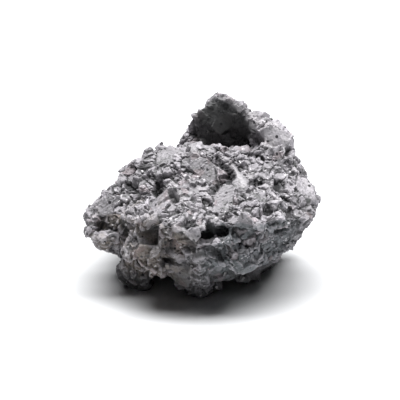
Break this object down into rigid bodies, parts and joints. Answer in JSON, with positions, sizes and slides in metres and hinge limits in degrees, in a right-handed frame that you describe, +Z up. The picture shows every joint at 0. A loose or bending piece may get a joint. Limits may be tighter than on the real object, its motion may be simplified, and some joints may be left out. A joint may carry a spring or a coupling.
{
  "type": "rough corundum chunk",
  "caption": "Angular chunk of rough, opaque, granular corundum with broken faces, a sloping table, a peak behind it and a flat side that it rests on.",
  "frame": {"origin": "on the resting face, under the middle of the chunk's bounding box", "axes": "+X along the chunk's longest side, towards its right tip; +Y towards its back; +Z up, away from the resting face"},
  "size_m": [0.032, 0.0266, 0.023],
  "materials": {
    "corundum": "matt, granular, with small glints"
  },
  "bodies": {
    "root": {"corundum_chunk": "corundum"}
  },
  "joints": []
}
